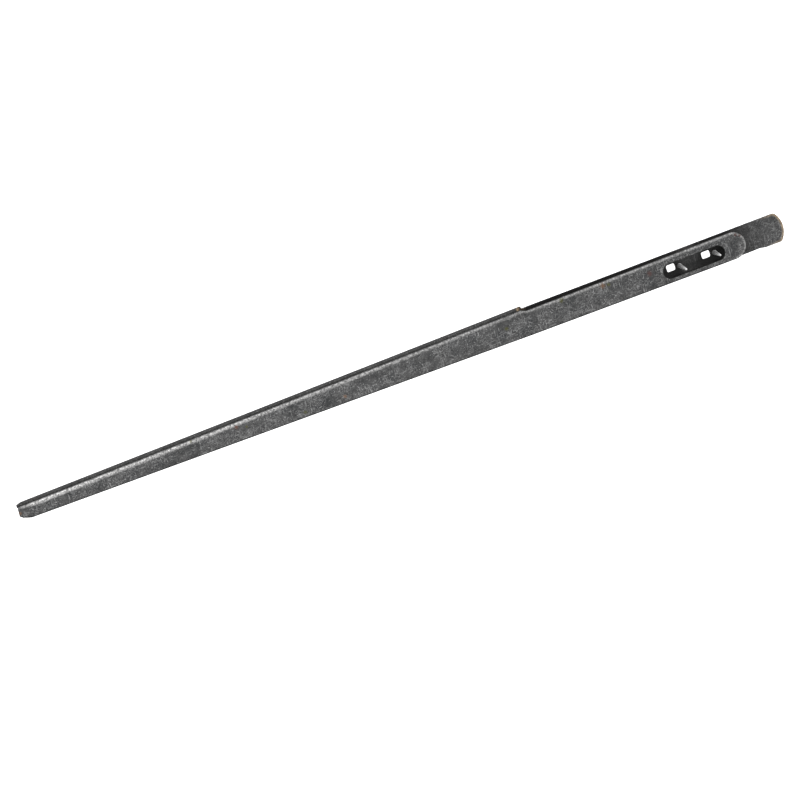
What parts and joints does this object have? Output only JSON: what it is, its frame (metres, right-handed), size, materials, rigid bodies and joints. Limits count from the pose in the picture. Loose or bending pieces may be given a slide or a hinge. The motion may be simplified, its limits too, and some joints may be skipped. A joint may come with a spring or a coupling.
{
  "type": "two-jaw gripping needle",
  "caption": "Slender tapered steel needle: a channel closed by a front leaf whose free slotted end springs over a longer toothed rear blade.",
  "frame": {"origin": "on the rest face, under the middle of the overall length and width", "axes": "+X along the tool from the narrow tip to the wide head, +Y across the width towards the side where the notch opens, +Z from the rest face to the front leaf"},
  "size_m": [0.15, 0.006, 0.0038],
  "materials": {
    "blackened_sheet": "dark phosphated sheet steel, worn brown at the sheared end",
    "blackened_leaf": "dark phosphated sheet steel, speckled and finely scratched, rubbed bright along its rounded edge",
    "tooth_steel": "bare bright steel with a brown trace"
  },
  "bodies": {
    "shank": {"rear_shell": "blackened_sheet", "front_leaf": "blackened_leaf", "grip_tooth_1": "tooth_steel", "grip_tooth_2": "tooth_steel"},
    "jaw": {"front_jaw": "blackened_leaf"}
  },
  "joints": [
    {"name": "jaw_spring", "type": "hinge", "parent": "shank", "child": "jaw", "pos_m": [0.024, 0.0001, 0.0035], "axis": [0, -1, 0], "range_deg": [-2.2, 4], "stiffness_Nm_per_rad": 0.5}
  ]
}
